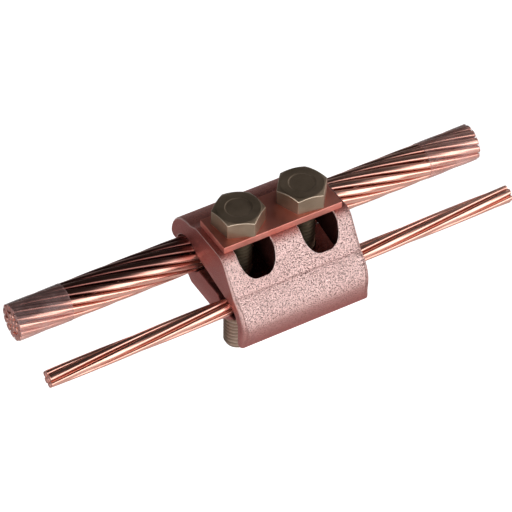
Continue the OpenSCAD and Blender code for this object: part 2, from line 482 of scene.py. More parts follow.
def ramp(tree, place, value, stops):
    made = node(tree, "ShaderNodeValToRGB", place)
    line = made.color_ramp
    while len(line.elements) < len(stops):
        line.elements.new(0.5)
    for element, (at, level) in zip(line.elements, stops):
        element.position = at
        element.color = grey(level)
    tree.links.new(value, made.inputs["Fac"])
    return made.outputs["Color"]


def noise(tree, place, vector, scale, detail, roughness):
    made = node(tree, "ShaderNodeTexNoise", place, Detail=detail, Roughness=roughness)
    tree.links.new(vector, made.inputs["Vector"])
    feed(tree, made.inputs["Scale"], scale)
    return made.outputs["Fac"]


def parts_of(tree, place, vector):
    made = node(tree, "ShaderNodeSeparateXYZ", place)
    tree.links.new(vector, made.inputs[0])
    return made.outputs


def surface_mark(tree, place, name):
    return node(tree, "ShaderNodeAttribute", place, attribute_name=name).outputs["Fac"]


def bump(tree, place, height, shader, strength, distance):
    made = node(tree, "ShaderNodeBump", place, Strength=strength, Distance=distance * MM)
    tree.links.new(height, made.inputs["Height"])
    tree.links.new(made.outputs["Normal"], shader.inputs["Normal"])


def new_group(name, inputs, outputs):
    tree = bpy.data.node_groups.new(name, "ShaderNodeTree")
    for socket, kind, value in inputs:
        made = tree.interface.new_socket(socket, in_out="INPUT", socket_type=kind)
        if value is not None:
            made.default_value = value
    for socket in outputs:
        tree.interface.new_socket(socket, in_out="OUTPUT", socket_type="NodeSocketFloat")
    given = node(tree, "NodeGroupInput", (-900, 0))
    result = node(tree, "NodeGroupOutput", (700, 0))
    return tree, given.outputs, result.inputs


def make_grain_group():
    tree, given, result = new_group(
        "casting_grain",
        [("Vector", "NodeSocketVector", None), ("Scale", "NodeSocketFloat", 1800.0)],
        ["Height", "Pits", "Cloud"])
    vector = given["Vector"]
    scale = given["Scale"]
    sand = noise(tree, (-600, 200), vector, scale, detail=4.0, roughness=0.6)
    finer = maths(tree, (-750, -100), "MULTIPLY", scale, 1.3)
    spots = noise(tree, (-600, -100), vector, finer, detail=2.0, roughness=0.5)
    pits = ramp(tree, (-400, -100), spots, ((0.36, 1), (0.47, 0)))
    broader = maths(tree, (-750, -400), "MULTIPLY", scale, 0.06)
    cloud = noise(tree, (-600, -400), vector, broader, detail=3.0, roughness=0.55)
    thin = ramp(tree, (-400, -400), cloud, ((0.3, 0.7), (0.65, 1)))
    held = maths(tree, (-150, -150), "MULTIPLY", pits, thin)
    height = maths(tree, (100, 100), "SUBTRACT", sand, held)
    for name, value in (("Height", height), ("Pits", held), ("Cloud", cloud)):
        tree.links.new(value, result[name])
    return tree


def make_drawn_group():
    tree, given, result = new_group(
        "drawing_lines",
        [("Vector", "NodeSocketVector", None), ("Along", "NodeSocketVector", (40.0, 2600.0, 2600.0))],
        ["Lines", "Stain"])
    stretch = node(tree, "ShaderNodeVectorMath", (-650, 100), operation="MULTIPLY")
    tree.links.new(given["Vector"], stretch.inputs[0])
    tree.links.new(given["Along"], stretch.inputs[1])
    lines = noise(tree, (-400, 150), stretch.outputs[0], 1.0, detail=3.0, roughness=0.6)
    clouds = noise(tree, (-400, -150), given["Vector"], 160.0, detail=5.0, roughness=0.62)
    stain = ramp(tree, (-150, -150), clouds, ((0.35, 0), (0.68, 1)))
    tree.links.new(lines, result["Lines"])
    tree.links.new(stain, result["Stain"])
    return tree


def group_node(tree, group, place, vector, **values):
    made = node(tree, "ShaderNodeGroup", place)
    made.node_tree = group
    tree.links.new(vector, made.inputs["Vector"])
    for key, value in values.items():
        made.inputs[key].default_value = value
    return made.outputs


def new_material(name, metallic):
    material = bpy.data.materials.new(name)
    material.use_nodes = True
    tree = material.node_tree
    shader = tree.nodes["Principled BSDF"]
    shader.inputs["Metallic"].default_value = metallic
    place = node(tree, "ShaderNodeTexCoord", (-1500, 0))
    return material, tree, shader, place.outputs["Object"]


# Finishes
def make_cast_copper(grain):
    material, tree, shader, vector = new_material("cast_copper", 1.0)
    skin = group_node(tree, grain, (-1200, 200), vector, Scale=2300.0)
    ends = surface_mark(tree, (-1200, -300), "end_face")
    deep_shade_mask = surface_mark(tree, (-1200, -550), "deep_shade")
    blasted_and_lit = surface_mark(tree, (-1200, -800), "blasted_and_lit")
    wear_and_highlight = surface_mark(tree, (-1200, -1050), "wear_and_highlight")
    rounds = surface_mark(tree, (-1200, -1300), "end_round")
    crease = surface_mark(tree, (-1200, -1550), "crease_shade")
    line = surface_mark(tree, (-1200, -1800), "edge_line")

    plain = mixed(tree, (-1000, 450), skin["Cloud"], *CAST_PLAIN)
    bright = mixed(tree, (-1000, 300), skin["Cloud"], *CAST_PAINTED_LIT)
    # Painted light: the front facing the front light takes the paler lit tone
    tone = mixed(tree, (-800, 300), blasted_and_lit, plain, bright)
    tone = stained(tree, (-650, 300), tone, skin["Pits"], 0.85, CAST_PIT)
    tone = stained(tree, (-500, 300), tone, ends, 0.85, CAST_END)
    # Painted shade along the crease between flank and lobe
    tone = stained(tree, (-350, 100), tone, crease, 0.5, CAST_CREASE_SHADE)
    tone = stained(tree, (-350, -50), tone, line, 0.6, CAST_LINE)
    # Painted shade: the lower lobe darker and redder towards the bottom
    height = parts_of(tree, (-1200, 600), vector)["Z"]
    low = spread(tree, (-900, 600), height, 0.0, 1.0, FOOT_SHADE_FROM * MM, FOOT_SHADE_TO * MM, "SMOOTHSTEP")
    foot_shade = maths(tree, (-650, 700), "MULTIPLY", low, spread(tree, (-800, 700), rounds, 1.0, 0.85))
    tone = mixed(tree, (-300, 500), foot_shade, tone, CAST_FOOT_SHADE)
    # Worn edges, smoother and lighter, with a painted highlight along the roundings
    tone = mixed(tree, (-250, 500), wear_and_highlight, tone, CAST_WORN_HIGHLIGHT)
    # Painted shade on the slots' steep walls and on the jaw's top
    tone = stained(tree, (-200, 300), tone, deep_shade_mask, 0.92, CAST_DEEP_SHADE)
    tree.links.new(tone, shader.inputs["Base Color"])

    dull = spread(tree, (-650, 0), skin["Cloud"], 0.4, 0.5)
    rubbed = spread(tree, (-650, -150), wear_and_highlight, 0.0, -0.15)
    tree.links.new(maths(tree, (-450, 0), "ADD", dull, rubbed), shader.inputs["Roughness"])
    on_ends = spread(tree, (-650, -350), ends, 1.0, 0.25)
    on_front = spread(tree, (-650, -550), blasted_and_lit, 0.4, 1.0)
    relief = maths(tree, (-450, -250), "MULTIPLY", skin["Height"], on_ends)
    relief = maths(tree, (-350, -250), "MULTIPLY", relief, on_front)
    bump(tree, (-250, -200), relief, shader, strength=1.0, distance=0.55)
    return material


def make_rolled_copper(drawn):
    material, tree, shader, vector = new_material("rolled_copper", 1.0)
    skin = group_node(tree, drawn, (-1200, 200), vector, Along=(60.0, 1500.0, 1500.0))
    tone = mixed(tree, (-800, 300), skin["Stain"], *ROLLED)
    tree.links.new(tone, shader.inputs["Base Color"])
    tree.links.new(spread(tree, (-800, 0), skin["Stain"], 0.45, 0.56), shader.inputs["Roughness"])
    bump(tree, (-400, -200), skin["Lines"], shader, strength=0.25, distance=0.04)
    return material


def make_drawn_copper(drawn):
    material, tree, shader, _ = new_material("bright_copper", 1.0)
    strand = node(tree, "ShaderNodeAttribute", (-1500, 200), attribute_name="strand").outputs["Vector"]
    skin = group_node(tree, drawn, (-1200, 200), strand)
    ends = surface_mark(tree, (-1200, -300), "end_face")
    groove_shade = surface_mark(tree, (-1200, -600), "groove_shade")
    top_shade = surface_mark(tree, (-1200, -900), "top_shade")
    tone = mixed(tree, (-850, 300), skin["Stain"], *WIRE)
    # Painted shade in the grooves between strands, strongest on the upper side
    tone = stained(tree, (-700, 300), tone, groove_shade, 0.92, WIRE_GROOVE_SHADE)
    # Painted shade on the main conductor's upper, back side
    tone = stained(tree, (-600, 500), tone, top_shade, 0.8, WIRE_TOP_SHADE)
    tone = stained(tree, (-500, 300), tone, ends, 0.9, WIRE_END)
    tree.links.new(tone, shader.inputs["Base Color"])
    tree.links.new(spread(tree, (-800, 0), skin["Lines"], 0.22, 0.34), shader.inputs["Roughness"])
    bump(tree, (-400, -200), skin["Lines"], shader, strength=0.18, distance=0.03)
    return material


def make_bolt_steel(drawn, grain):
    material, tree, shader, vector = new_material("bolt_steel", 1.0)
    skin = group_node(tree, drawn, (-1200, 300), vector, Along=(900.0, 900.0, 900.0))
    dull = group_node(tree, grain, (-1200, -100), vector, Scale=2600.0)
    root_shade = surface_mark(tree, (-1200, -500), "thread_root_shade")
    wear_and_highlight = surface_mark(tree, (-1200, -800), "wear_and_highlight")
    height = parts_of(tree, (-1200, 600), vector)["Z"]
    # Painted shade on the shank inside the slots, between the conductor's axis height and the plate's seat
    half_way = SEAT_Z / 2 * MM
    shank = maths(tree, (-1000, 600), "COMPARE", height, half_way, half_way)
    # Painted light: the thread lighter towards its end below the jaw
    tail_light = spread(tree, (-1000, 800), height, 0.0, 0.8, TAIL_LIGHT_FROM * MM, TAIL_LIGHT_TO * MM)
    tone = mixed(tree, (-800, 300), skin["Stain"], *STEEL)
    tone = stained(tree, (-650, 300), tone, shank, 0.75, STEEL_SHANK_SHADE)
    tone = mixed(tree, (-550, 600), tail_light, tone, STEEL_TAIL_LIGHT)
    # Worn head edges with a painted highlight
    tone = stained(tree, (-450, 500), tone, wear_and_highlight, 0.8, STEEL_WORN_HIGHLIGHT)
    # Painted shade in the thread's roots
    tone = stained(tree, (-350, 300), tone, root_shade, 0.7, STEEL_ROOT_SHADE)
    tree.links.new(tone, shader.inputs["Base Color"])
    tree.links.new(spread(tree, (-800, 0), skin["Stain"], 0.44, 0.54), shader.inputs["Roughness"])
    bump(tree, (-400, -200), dull["Height"], shader, strength=0.25, distance=0.05)
    return material


def make_clear_tape(drawn):
    material, tree, shader, vector = new_material("clear_tape", 0.0)
    skin = group_node(tree, drawn, (-1200, 200), vector, Along=(260.0, 420.0, 420.0))
    rims = surface_mark(tree, (-1200, -700), "end_face")
    edge = node(tree, "ShaderNodeLayerWeight", (-1200, -400), Blend=0.35)
    tone = mixed(tree, (-800, 300), skin["Stain"], *TAPE)
    tree.links.new(tone, shader.inputs["Base Color"])
    tree.links.new(spread(tree, (-800, 0), skin["Lines"], 0.12, 0.3), shader.inputs["Roughness"])
    milky = spread(tree, (-800, -300), skin["Stain"], 0.03, 0.17)
    grazed = spread(tree, (-800, -600), edge.outputs["Facing"], 0.0, 0.25)
    film = maths(tree, (-600, -300), "ADD", milky, grazed)
    tree.links.new(maths(tree, (-400, -400), "MULTIPLY_ADD", rims, 0.6, film), shader.inputs["Alpha"])
    bump(tree, (-400, -200), skin["Lines"], shader, strength=0.4, distance=0.2)
    return material


# Form of the saddle
def front_round(z):
    heights = [h for h, _ in FRONT_ROUNDS]
    return float(np.interp(z, heights, [r for _, r in FRONT_ROUNDS]))


def outer_round(y, z, tip_in, tip_out):
    if y > CREST_Y and z > HOOK_TIP_Z:
        share = (y - CREST_Y) / (tip_out - CREST_Y)
        return max(CREST_ROUND, NOSE_ROUND * min(share, 1))
    if y > CREST_Y:
        share = (y - tip_in) / (tip_out - tip_in)
        return INNER_ROUND + (NOSE_ROUND - INNER_ROUND) * share ** 2
    if y > SKIRT_IN - SKIRT_TIP_T + WELD and z < SKIRT_TIP_Z + WELD:
        share = clamp((SKIRT_IN - y) / SKIRT_TIP_T)
        return INNER_ROUND + (front_round(z) - INNER_ROUND) * share
    return front_round(z)


def flank_ends():
    slope = math.radians(FLANK_ANGLE)
    top = Vector((CREST_Y - CREST_R * math.sin(slope), SEAT_Z - CREST_R + CREST_R * math.cos(slope)))
    down = Vector((-math.cos(slope), -math.sin(slope)))
    return top, line_meets_round(top, down, Vector((LOBE_Y, LOBE_Z)), LOBE_R)


def line_meets_round(start, way, centre, radius):
    near = (centre - start).dot(way)
    off = (centre - start - near * way).length
    return start + (near - math.sqrt(radius ** 2 - off ** 2)) * way


def section_normal(y, z, top, crease):
    if y > SEAT_BACK_Y:
        return Vector((y - HOOK_Y, z - HOOK_Z)).normalized()
    if y > CREST_Y:
        return Vector((0, 1))
    if z > top.y:
        return Vector((y - CREST_Y, z - SEAT_Z + CREST_R)).normalized()
    if z > crease.y:
        return Vector((-math.sin(math.radians(FLANK_ANGLE)), math.cos(math.radians(FLANK_ANGLE))))
    return Vector((y - LOBE_Y, max(0, z - LOBE_Z))).normalized()


def depth_below_skin(y, z, top, crease):
    if y > CREST_Y:
        return SEAT_Z - z
    if z > top.y:
        return CREST_R - math.hypot(y - CREST_Y, z - SEAT_Z + CREST_R)
    if z > crease.y:
        return -(Vector((y, z)) - top).dot(section_normal(y, z, top, crease))
    return LOBE_R - math.hypot(y - LOBE_Y, z - LOBE_Z)


def by_slots(place):
    return abs(place.x) < (BOLT_X + SLOT_W / 2 + 2 * RIM_ROUND) * MM


def on_slot_wall(place):
    x = abs(abs(place.x / MM) - BOLT_X)
    y = place.y / MM - BOLT_Y
    half = SLOT_W / 2
    if y > 0:
        off = math.hypot(x, y) - half
    elif y > -SLOT_RUN:
        off = x - half
    elif x < half - SLOT_CORNER:
        off = -SLOT_RUN - y - SLOT_CORNER
    else:
        off = math.hypot(x - half + SLOT_CORNER, y + SLOT_RUN) - SLOT_CORNER
    return abs(off) < ON_WALL


def on_deep_wall(v):
    return on_slot_wall(v.co) and abs(v.normal.z) < STEEP


# Marks on the surfaces
def mark_end_faces(obj):
    mark_points(obj, "end_face", lambda v: clamp((abs(v.normal.x) - END_FACE_FROM) / END_FACE_OVER))


def mark_end_rounds(obj):
    mark_points(obj, "end_round", lambda v: clamp(abs(v.normal.x) / END_ROUND_FULL))


# Painted shade on the slots' steep walls
def mark_slot_wall_shade(obj):
    mark_points(obj, "deep_shade", lambda v: 1.0 if on_deep_wall(v) else 0.0)


# Painted shade on the jaw's top, under the saddle
def mark_jaw_top_shade(obj):
    mark_points(obj, "deep_shade", lambda v: JAW_TOP_SHADE if v.normal.z > JAW_TOP_FROM else 0.0)


# Band of painted shade along the crease between flank and lobe
def mark_crease_shade(obj):
    _, crease = flank_ends()

    def share(v):
        away = math.hypot(v.co.y / MM - crease.x, v.co.z / MM - crease.y)
        return clamp(1 - away / CREASE_SHADE_BAND)

    mark_points(obj, "crease_shade", share)


# Share of the front turned towards the front light, for a painted lit tone and stronger grain relief
def mark_blasted_and_lit_front(obj):
    top, crease = flank_ends()

    def share(v):
        normal = section_normal(v.co.y / MM, v.co.z / MM, top, crease)
        towards = (normal.y - normal.x) / math.sqrt(2)
        blasted_and_lit = clamp((towards - BLASTED_AND_LIT_FROM) / BLASTED_AND_LIT_OVER)
        if v.co.z > top.y * MM:
            blasted_and_lit *= max(0.0, -normal.x / math.sin(math.radians(FLANK_ANGLE))) ** BLASTED_AND_LIT_FADE
        if not by_slots(v.co):
            blasted_and_lit *= 1 - BLASTED_AND_LIT_END_LOSS * clamp(abs(v.normal.x) / END_ROUND_FULL)
        return blasted_and_lit

    mark_points(obj, "blasted_and_lit", share)


# Worn edges with a painted highlight, along the roundings and stronger higher up on the ends
def mark_wear_and_highlight_edges(obj):
    top, crease = flank_ends()

    def share(v):
        if on_deep_wall(v):
            return 0.0
        wear_and_highlight = clamp(WEAR_HIGHLIGHT_FULL - abs(abs(v.normal.x) - WEAR_HIGHLIGHT_MIDDLE) / WEAR_HIGHLIGHT_SPAN)
        if by_slots(v.co):
            skin = depth_below_skin(v.co.y / MM, v.co.z / MM, top, crease) < WEAR_HIGHLIGHT_SKIN
            return 0.0 if skin else wear_and_highlight
        level = WEAR_HIGHLIGHT_END_LEVEL + WEAR_HIGHLIGHT_END_RISE * v.co.z / MM
        return wear_and_highlight * max(WEAR_HIGHLIGHT_END_LEAST, min(WEAR_HIGHLIGHT_END_MOST, level))

    mark_points(obj, "wear_and_highlight", share)


# Saddle
def make_slot_cutter():
    bm = bmesh.new()
    half = SLOT_W / 2
    end_y = BOLT_Y - SLOT_RUN
    for side in (-1, 1):
        axis_x = side * BOLT_X
        tip = bm.verts.new(((axis_x - half) * MM, BOLT_Y * MM, -CUTTER_REACH * MM))
        tip = plan_arc(bm, tip, axis_x, BOLT_Y, -180)
        tip = pen_step(bm, tip)
        tip.co.y = end_y * MM
        tip = plan_arc(bm, tip, axis_x + (half - SLOT_CORNER), end_y, -90)
        tip = pen_step(bm, tip)
        tip.co.x = (axis_x - half + SLOT_CORNER) * MM
        plan_arc(bm, tip, axis_x - (half - SLOT_CORNER), end_y, -90)
    bmesh.ops.remove_doubles(bm, verts=bm.verts, dist=WELD * MM)
    for side in (-1, 1):
        bmesh.ops.contextual_create(bm, geom=[v for v in bm.verts if v.co.x * side > 0])
    thicken(bm, list(bm.faces), (0, 0, 2 * CUTTER_REACH * MM))
    return new_object("slot_cutter", bm)


def weigh_slot_rims(obj):
    bm = bmesh.new()
    bm.from_mesh(obj.data)
    weight = bm.edges.layers.float.new("bevel_weight_edge")
    for e in bm.edges:
        sharp = len(e.link_faces) == 2 and e.calc_face_angle() > math.radians(RIM_SHARP)
        if sharp and on_slot_wall(e.verts[0].co) and on_slot_wall(e.verts[1].co):
            e[weight] = 1
    bm.to_mesh(obj.data)
    bm.free()


def draw_saddle_section(bm, x):
    tip_in = math.sqrt(POCKET_R ** 2 - (HOOK_TIP_Z - POCKET_Z) ** 2)
    tip_out = HOOK_Y + math.sqrt(HOOK_R ** 2 - (HOOK_TIP_Z - HOOK_Z) ** 2)
    hook_start = math.degrees(math.asin((HOOK_TIP_Z - HOOK_Z) / HOOK_R))
    top, crease = flank_ends()
    above = crease + (top - crease).normalized() * CREASE_SHADE_BAND
    crease_angle = math.degrees(math.atan2(crease.y - LOBE_Z, crease.x - LOBE_Y))

    # Outside, from the hook's tip over the seat and down to the skirt's tip
    rounding = bm.verts.layers.float.new("rounding")
    tip = bm.verts.new((x, tip_in * MM, HOOK_TIP_Z * MM))
    tip = pen_arc(bm, tip, ((tip_in + tip_out) / 2, HOOK_TIP_Z), 180, HOOK_TIP_STEP)
    tip = pen_arc(bm, tip, (HOOK_Y, HOOK_Z), 90 - hook_start)
    tip = pen_line(bm, tip, SEAT_BACK_Y, SEAT_Z, steps=4)
    tip = pen_line(bm, tip, CREST_Y, SEAT_Z, steps=6)
    tip = pen_arc(bm, tip, (CREST_Y, SEAT_Z - CREST_R), FLANK_ANGLE)
    tip = pen_line(bm, tip, above.x, above.y, steps=6)
    tip = pen_line(bm, tip, crease.x, crease.y)
    tip = pen_arc(bm, tip, (LOBE_Y, LOBE_Z), 180 - crease_angle, LOBE_STEP)
    tip = pen_line(bm, tip, SKIRT_IN - SKIRT_TIP_T, SKIRT_TIP_Z, steps=3)
    tip = pen_arc(bm, tip, (SKIRT_IN - SKIRT_TIP_T / 2, SKIRT_TIP_Z), 180, SKIRT_TIP_STEP)
    for v in bm.verts:
        v[rounding] = outer_round(v.co.y / MM, v.co.z / MM, tip_in, tip_out)
    outside = set(bm.verts)

    # Inside, where the underside line meets the round of the hook's pocket
    roof = Vector((TAP_Y, LOBE_Z + TAP_POCKET_R))
    rise = (Vector((0, UNDERSIDE_Z)) - roof).normalized()
    meet = line_meets_round(roof, rise, Vector((0, POCKET_Z)), POCKET_R)
    meet_angle = math.degrees(math.atan2(meet.y - POCKET_Z, meet.x))
    tip_angle = math.degrees(math.atan2(HOOK_TIP_Z - POCKET_Z, tip_in))
    tip = pen_line(bm, tip, SKIRT_IN, LOBE_Z, steps=3)
    tip = pen_arc(bm, tip, (TAP_Y, LOBE_Z), -90)
    tip = pen_line(bm, tip, meet.x, meet.y, steps=6)
    pen_arc(bm, tip, (0, POCKET_Z), tip_angle - meet_angle)
    for v in bm.verts:
        if v not in outside:
            v[rounding] = INNER_ROUND
    bmesh.ops.remove_doubles(bm, verts=bm.verts, dist=WELD * MM)


def make_saddle(material):
    low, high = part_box("upper_saddle")
    bm = bmesh.new()
    draw_saddle_section(bm, low.x)
    section = bmesh.ops.contextual_create(bm, geom=list(bm.edges))["faces"]
    thicken(bm, section, (high.x - low.x, 0, 0))
    saddle = new_object("saddle_casting", bm)
    cut(saddle, make_slot_cutter())
    round_both_ends(saddle)
    weigh_slot_rims(saddle)
    round_edges(saddle, RIM_ROUND, "WEIGHT")
    mark_end_faces(saddle)
    mark_end_rounds(saddle)
    mark_slot_wall_shade(saddle)
    mark_blasted_and_lit_front(saddle)
    mark_wear_and_highlight_edges(saddle)
    mark_crease_shade(saddle)
    smooth(saddle)
    dress(saddle, "clamp_top", "upper_saddle", material)


# Jaw
def make_jaw(material):
    bm = bmesh.new()
    bm.from_mesh(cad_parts["lower_jaw"].data)
    bmesh.ops.remove_doubles(bm, verts=bm.verts, dist=JAW_WELD * MM)
    bmesh.ops.dissolve_limit(bm, angle_limit=math.radians(JAW_FLAT), verts=bm.verts, edges=bm.edges)
    jaw = new_object("jaw_casting", bm)
    round_edges(jaw, JAW_ROUND, "ANGLE", degrees=30)
    mark_end_faces(jaw)
    mark_end_rounds(jaw)
    mark_jaw_top_shade(jaw)
    smooth(jaw)
    dress(jaw, "jaw", "lower_jaw", material)


# Plate
def make_plate(material):
    low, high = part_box("pressure_plate")
    bm = bmesh.new()
    size = Matrix.Diagonal((*(high - low), 1))
    bmesh.ops.create_cube(bm, size=1, matrix=Matrix.Translation((low + high) / 2) @ size)
    plate = new_object("plate_rolled", bm)
    bm = bmesh.new()
    for side in (-1, 1):
        place = Matrix.Translation((side * BOLT_X * MM, BOLT_Y * MM, low.z))
        add_cone(bm, ROUND_SIDES, PLATE_HOLE_R * MM, PLATE_HOLE_R * MM, PLATE_DRILL * MM, place)
    cut(plate, new_object("plate_drill", bm))
    round_edges(plate, PLATE_ROUND, "ANGLE", degrees=50)
    smooth(plate)
    dress(plate, "clamp_top", "pressure_plate", material)


# Bolts
def make_thread(x, end_z, top_z):
    bm = bmesh.new()
    pitch = PITCH * MM
    crest = BOLT_R * MM
    root = crest - THREAD_DEPTH * MM
    start_z = end_z - 2 * pitch
    tip = bm.verts.new((x + root, BOLT_Y * MM, start_z))
    for r, share in ((root, ROOT_TO), (crest, CREST_FROM), (crest, CREST_TO), (root, 1.0)):
        tip = pen_step(bm, tip)
        tip.co = (x + r, BOLT_Y * MM, start_z + share * pitch)
    turns = math.ceil((top_z - start_z) / pitch)
    steps = THREAD_STEPS * turns
    bmesh.ops.spin(bm, geom=list(bm.verts) + list(bm.edges), cent=(x, BOLT_Y * MM, 0), axis=Z_AXIS,
                   dvec=(0, 0, turns * pitch / steps), angle=2 * math.pi * turns, steps=steps)
    bmesh.ops.remove_doubles(bm, verts=bm.verts, dist=THREAD_WELD * MM)
    for z, normal in ((end_z, (0, 0, -1)), (top_z, (0, 0, 1))):
        geom = list(bm.verts) + list(bm.edges) + list(bm.faces)
        bmesh.ops.bisect_plane(bm, geom=geom, plane_co=(x, BOLT_Y * MM, z), plane_no=normal,
                               clear_outer=True)
        rim = [e for e in bm.edges if e.is_boundary and abs(e.verts[0].co.z - z) < WELD * MM]
        bmesh.ops.edgeloop_fill(bm, edges=rim)
    bmesh.ops.recalc_face_normals(bm, faces=bm.faces)
    return new_object("thread", bm)


def make_shank(x, axis, end_z, seat):
    shank = make_thread(x * MM, end_z, seat + MM)
    bm = bmesh.new()
    length = seat + 2 * MM - end_z
    place = axis @ Matrix.Translation((0, 0, end_z + length / 2))
    add_cone(bm, ROUND_SIDES, BLANK_R * MM, BLANK_R * MM, length, place)
    end = [e for e in bm.edges if all(abs(v.co.z - end_z) < WELD * MM for v in e.verts)]
    bevel(bm, end, END_CHAMFER + BLANK_R - BOLT_R, 1)
    cut(shank, new_object("thread_blank", bm), "INTERSECT")
    return shank


# Head with its corners turned off at 30 degrees and a shallow dish on top
def make_head(name, axis, seat, top):
    height = top - seat
    middle = axis @ Matrix.Translation((0, 0, seat + height / 2))
    bm = bmesh.new()
    corner = HEAD_FLATS / math.sqrt(3) * MM
    turn = Matrix.Rotation(math.radians(HEAD_TURNS[name] + 30), 4, "Z")
    add_cone(bm, 6, corner, corner, height, middle @ turn)
    upright = [e for e in bm.edges if abs(e.verts[0].co.z - e.verts[1].co.z) > MM]
    bevel(bm, upright, HEAD_CORNER, ROUND_STEPS)
    head = new_object("head", bm)
    bm = bmesh.new()
    flat = HEAD_FLAT_R * MM
    add_cone(bm, HEAD_SIDES, flat + height * math.sqrt(3), flat, height, middle)
    cut(head, new_object("head_turning", bm), "INTERSECT")
    bm = bmesh.new()
    place = axis @ Matrix.Translation((0, 0, top))
    add_cone(bm, HEAD_SIDES, DISH_FLOOR_R * MM, DISH_RIM_R * MM, DISH_CUT * MM, place)
    cut(head, new_object("head_dish", bm))
    round_edges(head, HEAD_ROUND, "ANGLE", degrees=20)
    return head


# Depth into the thread, for painted shade in its roots
def mark_thread_root_shade(obj, x, seat):
    def share(v):
        depth = BOLT_R - math.hypot(v.co.x / MM - x, v.co.y / MM - BOLT_Y)
        return clamp(depth / THREAD_DEPTH) if v.co.z < seat else 0.0

    mark_points(obj, "thread_root_shade", share)


# Edges between the head's top and sides, for wear with a painted highlight
def mark_head_wear_and_highlight(obj, seat):
    def share(v):
        between = HEAD_EDGE_FROM < abs(v.normal.z) < HEAD_EDGE_TO
        return 1.0 if between and v.co.z > seat else 0.0

    mark_points(obj, "wear_and_highlight", share)


def make_bolt(name, x, body, material):
    low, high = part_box(name)
    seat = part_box("pressure_plate")[1].z
    axis = Matrix.Translation((x * MM, BOLT_Y * MM, 0))
    shank = make_shank(x, axis, low.z, seat)
    head = make_head(name, axis, seat, high.z)
    bm = bmesh.new()
    for part in (head, shank):
        bm.from_mesh(part.data)
        bpy.data.objects.remove(part)
    bolt = new_object(name + "_turned", bm)
    mark_thread_root_shade(bolt, x, seat)
    mark_head_wear_and_highlight(bolt, seat)
    smooth(bolt, degrees=30)
    dress(bolt, body, name, material)


# Conductors
def press_flat(bm, centre, outwards, radius, reach):
    across = outwards.cross(Vector(X_AXIS))
    groove_shade = bm.verts.layers.float.new("groove_shade")
    for v in bm.verts:
        up = (v.co - centre).dot(outwards) / radius
        side = (v.co - centre).dot(across) / radius
        if up > 0:
            up = up ** (2 / PRESSED_FLAT)
            side = math.copysign(abs(side) ** (2 / PRESSED_FLAT), side)
            fall = (side * radius) ** 2 / (2 * reach) * up
            v.co = centre + (radius * up - fall) * outwards + radius * side * across
        # Painted shade in the grooves, rising from the strand's outer face to its sides
        v[groove_shade] = clamp((GROOVE_TOP - up) / GROOVE_TOP * GROOVE_SLOPE)


# Painted shade on the upper, back side of the main conductor's outer wires, fading towards the right
def mark_top_shade(bm, axis, share):
    top_shade = bm.verts.layers.float.new("top_shade")
    groove_shade = bm.verts.layers.float["groove_shade"]
    for v in bm.verts:
        out = Vector((v.co.y - axis[0] * MM, v.co.z - axis[1] * MM)).normalized()
        rise = clamp((out.dot(TOP_SHADE_WAY) - TOP_SHADE_FROM) / TOP_SHADE_OVER)
        along = clamp(0.5 + v.co.x / MM / TOP_SHADE_RUN)
        v[top_shade] = share * rise ** 2 * (3 - 2 * rise) * (1 - TOP_SHADE_FADE * along)
        # Groove shade kept fainter on the lower, lit side
        v[groove_shade] *= GROOVE_SHADE_LIT_SIDE + (1 - GROOVE_SHADE_LIT_SIDE) * v[top_shade]


def make_wire(node_name, axis, layer_r, wire_d, lay, phase, body, material):
    low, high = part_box(node_name)
    is_outer = "outer" in node_name
    bm = bmesh.new()
    length = high.x - low.x
    turn = 2 * math.pi / (lay * MM)
    angle = math.radians(phase) + turn * low.x
    outwards = Vector((0, math.sin(angle), -math.cos(angle)))
    centre = Vector((low.x,
                     axis[0] * MM + layer_r * MM * math.sin(angle),
                     axis[1] * MM - layer_r * MM * math.cos(angle)))
    add_ring(bm, WIRE_SIDES, wire_d / 2 * MM, centre)
    if is_outer:
        press_flat(bm, centre, outwards, wire_d / 2 * MM, (layer_r + wire_d / 2) * MM)
    strand = bm.verts.layers.float_vector.new("strand")
    for v in bm.verts:
        v[strand] = v.co - centre + Vector((0, STRAND_SHIFT * angle, angle)) * MM
    ring = list(bm.verts) + list(bm.edges)
    bmesh.ops.spin(bm, geom=ring, cent=(0, axis[0] * MM, axis[1] * MM), axis=X_AXIS,
                   dvec=(length / WIRE_STEPS, 0, 0), angle=turn * length, steps=WIRE_STEPS)
    for x in (low.x, high.x):
        rim = [e for e in bm.edges if e.is_boundary and abs(e.verts[0].co.x - x) < WELD * MM]
        cap = bmesh.ops.edgeloop_fill(bm, edges=rim)["faces"]
        bevel(bm, list({e for f in cap for e in f.edges}), WIRE_END_ROUND, 2)
    for v in bm.verts:
        v[strand].x = v.co.x
    if is_outer:
        mark_top_shade(bm, axis, 1.0 if body == "clamp_top" else 0.0)
    bmesh.ops.recalc_face_normals(bm, faces=bm.faces)
    wire = new_object(node_name + "_drawn", bm)
    mark_end_faces(wire)
    smooth(wire, degrees=50)
    dress(wire, body, node_name, material)


def make_main_conductor(material):
    def add(name, layer_r, lay, phase):
        make_wire(name, MAIN_AXIS, layer_r, MAIN_WIRE_D, lay, phase, "clamp_top", material)

    add("main_core_wire", 0, MAIN_CORE_LAY, 0)
    for i in range(1, 7):
        add("main_inner_wire_%d" % i, MAIN_LAYER_R, MAIN_INNER_LAY, 60 * i)
    for i in range(1, 13):
        phase = 30 * i + random.uniform(-OUTER_SPREAD, OUTER_SPREAD)
        add("main_outer_wire_%d" % i, 2 * MAIN_LAYER_R, MAIN_OUTER_LAY, phase)


def make_tap_conductor(material):
    def add(name, layer_r, lay, phase):
        make_wire(name, TAP_AXIS, layer_r, TAP_WIRE_D, lay, phase, "jaw", material)

    add("tap_core_wire", 0, TAP_CORE_LAY, 0)
    for i in range(1, 7):
        add("tap_outer_wire_%d" % i, TAP_LAYER_R, TAP_LAY, 60 * i)


